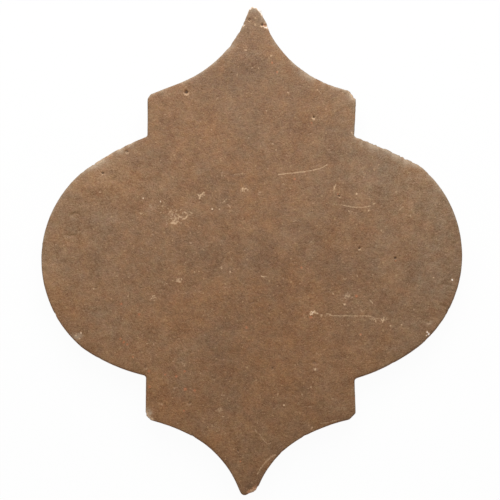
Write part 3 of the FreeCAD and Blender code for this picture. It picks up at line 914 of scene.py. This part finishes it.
# %% Noise in millimetres
NOISES = {  # mm from patch to patch, detail, roughness, strength in light and dark
    "cloud": (26.0, 2, 0.5, 0.15),
    "mottle": (9.0, 2, 0.5, 0.55),
    "mottle_fine": (3.4, 1, 0.5, 0.45),
    "grain": (1.3, 1, 0.6, 0.5),
    "sand": (0.55, 1, 0.7, 1.0),  # coarser than real sand, as a picture shows it
}
tile_place = add_node(tree, "TexCoord").outputs["Object"]
mm = vector_maths(tree, "MULTIPLY", tile_place, (1 / MM,) * 3)


def clay_noise(size, detail, roughness, where=mm, output="Fac"):
    """Noise that changes over `size` millimetres."""
    return add_node(tree, "TexNoise", {
        "Vector": where, "Scale": 1 / size, "Detail": detail,
        "Roughness": roughness}).outputs[output]


noises = {}
for number, (name, (*settings, _)) in enumerate(NOISES.items()):
    moved = vector_maths(tree, "ADD", mm, (31.7 * number, 17.3, 5.9))
    noises[name] = clay_noise(*settings, where=moved)
print("noises:", ", ".join(noises))

# %% [markdown]
# ### Light and dark
# Stain goes darker where the clay drinks more of it. The noises are added up,
# each with its own strength, and the sum picks a place between the darkest
# brown and the lightest one.

# %% Light and dark
DARK_BROWN, LIGHT_BROWN = "#5E370D", "#9A7552"


def centred(noise_output, strength):
    """A noise that swings to both sides of nothing."""
    return maths(tree, "MULTIPLY_ADD", noise_output, strength, -strength / 2)


def mix_colours(share, first, second):
    """Two colours mixed. A share of 1 is all of the second."""
    return add_node(tree, "Mix", {0: share, 6: first, 7: second},
                    data_type="RGBA").outputs[2]


lightness = 0.5
for name, (*_, strength) in NOISES.items():
    lightness = maths(tree, "ADD", centred(noises[name], strength), lightness)
browns = mix_colours(lightness, linear(DARK_BROWN), linear(LIGHT_BROWN))
print("browns from", DARK_BROWN, "to", LIGHT_BROWN)

# %% [markdown]
# ### Hues that drift apart
# Clay, stain and wear don't have quite the same hue, so the brown leans to pink
# here and to olive there. The three colours of one noise drift apart by a few
# percent, from a pencil's width down to a grain.

# %% Drifting hues
HUE_DRIFT, HUE_SIZE = 0.25, 4.0
hues = clay_noise(HUE_SIZE, 3, 1.0, output="Color")
hues = vector_maths(tree, "MULTIPLY_ADD", hues, (HUE_DRIFT,) * 3, (1 - HUE_DRIFT / 2,) * 3)
browns = vector_maths(tree, "MULTIPLY", browns, hues)
print("hues drift by at most", 50 * HUE_DRIFT, "percent")

# %% [markdown]
# ### Warm, cool, light and dark patches
# Warm clay has more red and less blue in it. The listed patches set the broad warmth and lightness, and a
# noise of many sizes adds warmth of its own.

# %% Warmth and lightness
WARM_NOISE, WARM_SIZE = 1.05, 22.0
WARM_WAY = (0.45, 0.05, -0.62)  # what warmth adds to red, green and blue
# The patches' lightness is partly painted light and shade, lighter on the shoulders and edges and darker at
# the lower point, and their coolness is partly a painted grey sheen.
noted = {name: add_node(tree, "Attribute", attribute_name=name).outputs["Fac"]
         for name in NOTES}
warm_noise = centred(clay_noise(WARM_SIZE, 3, 0.85), WARM_NOISE)
warmth = maths(tree, "ADD", noted["warmth"], warm_noise)
warmer = vector_maths(tree, "MULTIPLY_ADD", warmth, WARM_WAY, (1, 1, 1))
browns = vector_maths(tree, "MULTIPLY", browns, warmer)
lit = maths(tree, "ADD", noted["lightness"], 1.0)
browns = vector_maths(tree, "MULTIPLY", browns, lit)
print("notes read from the mesh:", ", ".join(noted))

# %% [markdown]
# ### Pale grains in the skin
# Grains of sand shine through the stain, some large and most too small to see.
# A Voronoi texture has one point to a cell. A dot round it is a grain, and the
# cell's own random colour sets the dot's size.

# %% Pale grains
GRAIN_CELL = 2.1  # mm from one pale grain to the next
LARGEST_GRAIN = 0.24  # of a cell
GRAIN_SHOWS, PALE_SAND = 0.35, "#B8946C"


def spread(value, low, high, first, last):
    """Turns low to high into first to last, and stops there."""
    return add_node(tree, "MapRange", {
        "Value": value, "From Min": low, "From Max": high, "To Min": first,
        "To Max": last}).outputs[0]


cells = add_node(tree, "TexVoronoi", {"Vector": mm, "Scale": 1 / GRAIN_CELL})
cell_colour = add_node(tree, "SeparateColor", {0: cells.outputs["Color"]})
grain_size = spread(cell_colour.outputs[0], 0.55, 1.0, 0.0, LARGEST_GRAIN)
is_grain = maths(tree, "LESS_THAN", cells.outputs["Distance"], grain_size)
grain_share = maths(tree, "MULTIPLY", is_grain, GRAIN_SHOWS)
browns = mix_colours(grain_share, browns, linear(PALE_SAND))
print("widest grain:", round(2 * LARGEST_GRAIN * GRAIN_CELL, 1), "mm")

# %% [markdown]
# ### Lay the notes over the clay
# Painted shade, rubbed and dusty places with their painted highlight, bare clay and lime lie over one
# another, so each is mixed over what is there already, and thick lime comes last. Their edges crumble on
# the real tile, so noise is added before a note becomes a share.

# %% Lay the notes over the clay
OVERLAYS = {  # colour, how much of it at most, how far noise breaks its edge up
    # Painted shade: dark brown in pits, along edges that face down and at the foot of the sides; the sides
    # and the back are a little darker all over
    "grime": ("#3A2416", 0.85, 0.3),
    # Dust and rubbed places, and the painted grey sheen on edges that face up
    "rubbed": ("#B8A68E", 0.5, 1.0),
    "bare": ("#B36B43", 0.8, 1.0),
    "lime": ("#DDB993", 0.8, 1.5),
    "chalk": ("#F0E9E3", 0.95, 0.2),
}
LEAST_NOTE = 0.12  # a fainter note doesn't show
CRUMB_SIZE = 0.6
colour = browns
crumb = clay_noise(CRUMB_SIZE, 2, 0.8)
for name, (paint, most, torn) in OVERLAYS.items():
    torn_note = maths(tree, "ADD", centred(crumb, torn), noted[name])
    colour = mix_colours(spread(torn_note, LEAST_NOTE, 1.0, 0.0, most), colour, linear(paint))
print("laid over the clay:", ", ".join(OVERLAYS))

# %% [markdown]
# ### Relief too fine for the mesh, and the shader
# Sand roughens the skin more finely than the mesh does, so a bump bends the
# light instead, with the same noises that colour the sand. The skin is dull all
# over, here a little more and there a little less.

# %% Bump and shader
BUMP_DEPTH = 0.18
relief = maths(tree, "ADD", noises["sand"], noises["grain"])
bump = add_node(tree, "Bump", {
    "Height": relief, "Strength": 1.0, "Distance": BUMP_DEPTH * MM})
dullness = spread(noises["grain"], 0.0, 1.0, 0.5, 0.7)
shader = add_node(tree, "BsdfPrincipled", {
    "Base Color": colour, "Roughness": dullness, "IOR": 1.5,
    "Normal": bump.outputs["Normal"]})
add_node(tree, "OutputMaterial", {"Surface": shader.outputs[0]})
mesh.materials.append(clay)
print("clay material:", len(tree.nodes), "nodes")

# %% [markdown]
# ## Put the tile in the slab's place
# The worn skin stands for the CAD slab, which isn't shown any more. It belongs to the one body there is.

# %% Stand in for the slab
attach(tile, "root")
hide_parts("tile")

# %% [markdown]
# ## Floor and light
# The tile lies on a plain pale floor. It is a real one and sends light back to
# the tile, but to the camera nearly all of it glows, so that it comes out white
# in the picture with only a trace of shadow. One large soft lamp hangs beyond
# the upper point and makes that end lighter. A pale world fills the rest.

# %% Floor
FLOOR_SIZE = 4000.0
FLOOR_GAP = 0.05  # below the tile, so that the two don't share a plane
GLOW_SHARE = 0.96
WHITE = (1, 1, 1, 1)


def mix_to_output(tree, output, share, first, second):
    """Mixes two shaders and hands them to the output of the tree."""
    mixed = add_node(tree, "MixShader", {
        0: share, 1: first.outputs[0], 2: second.outputs[0]})
    add_node(tree, output, {"Surface": mixed.outputs[0]})


half = FLOOR_SIZE / 2 * MM
floor_mesh = bpy.data.meshes.new("floor")
floor_mesh.from_pydata([(-half, -half, 0), (half, -half, 0), (half, half, 0), (-half, half, 0)],
                       [], [(0, 1, 2, 3)])
floor = add_object("floor", floor_mesh)
floor.location.z = -FLOOR_GAP * MM

paper = bpy.data.materials.new("white_backdrop_paper")
paper_tree = empty_tree(paper)
paper_ray = add_node(paper_tree, "LightPath")
glows = maths(paper_tree, "MULTIPLY", paper_ray.outputs["Is Camera Ray"], GLOW_SHARE)
matt = add_node(paper_tree, "BsdfDiffuse", {"Color": linear("#F2F2F0")})
glow = add_node(paper_tree, "Emission", {"Color": WHITE, "Strength": 1.0})
mix_to_output(paper_tree, "OutputMaterial", glows, matt, glow)
floor_mesh.materials.append(paper)
print("floor:", FLOOR_SIZE / 1000, "m across")

# %% Lamp and world
LAMP_PLACE = (0.0, 360.0, 436.0)
LAMP_SIZE = 500.0
LAMP_POWER = 3.5
FILL = 0.34  # how bright the world is to the tile and the floor

lamp_data = bpy.data.lights.new("soft_lamp", "AREA")
lamp_data.size = LAMP_SIZE * MM
lamp_data.energy = LAMP_POWER
lamp = add_object("soft_lamp", lamp_data)
lamp.location = Vector(LAMP_PLACE) * MM
lamp.rotation_euler = (-lamp.location).to_track_quat("-Z", "Y").to_euler()

world = bpy.data.worlds.new("studio")
sky = empty_tree(world)
sky_ray = add_node(sky, "LightPath")
sky_seen = maths(sky, "MAXIMUM", sky_ray.outputs["Is Camera Ray"],
                 sky_ray.outputs["Is Transmission Ray"])
fill = add_node(sky, "Background", {"Color": WHITE, "Strength": FILL})
white = add_node(sky, "Background", {"Color": WHITE, "Strength": 1.0})
mix_to_output(sky, "OutputWorld", sky_seen, fill, white)
bpy.context.scene.world = world
bpy.context.scene.view_settings.view_transform = "Standard"
print("lamp:", LAMP_POWER, "W; world:", FILL)
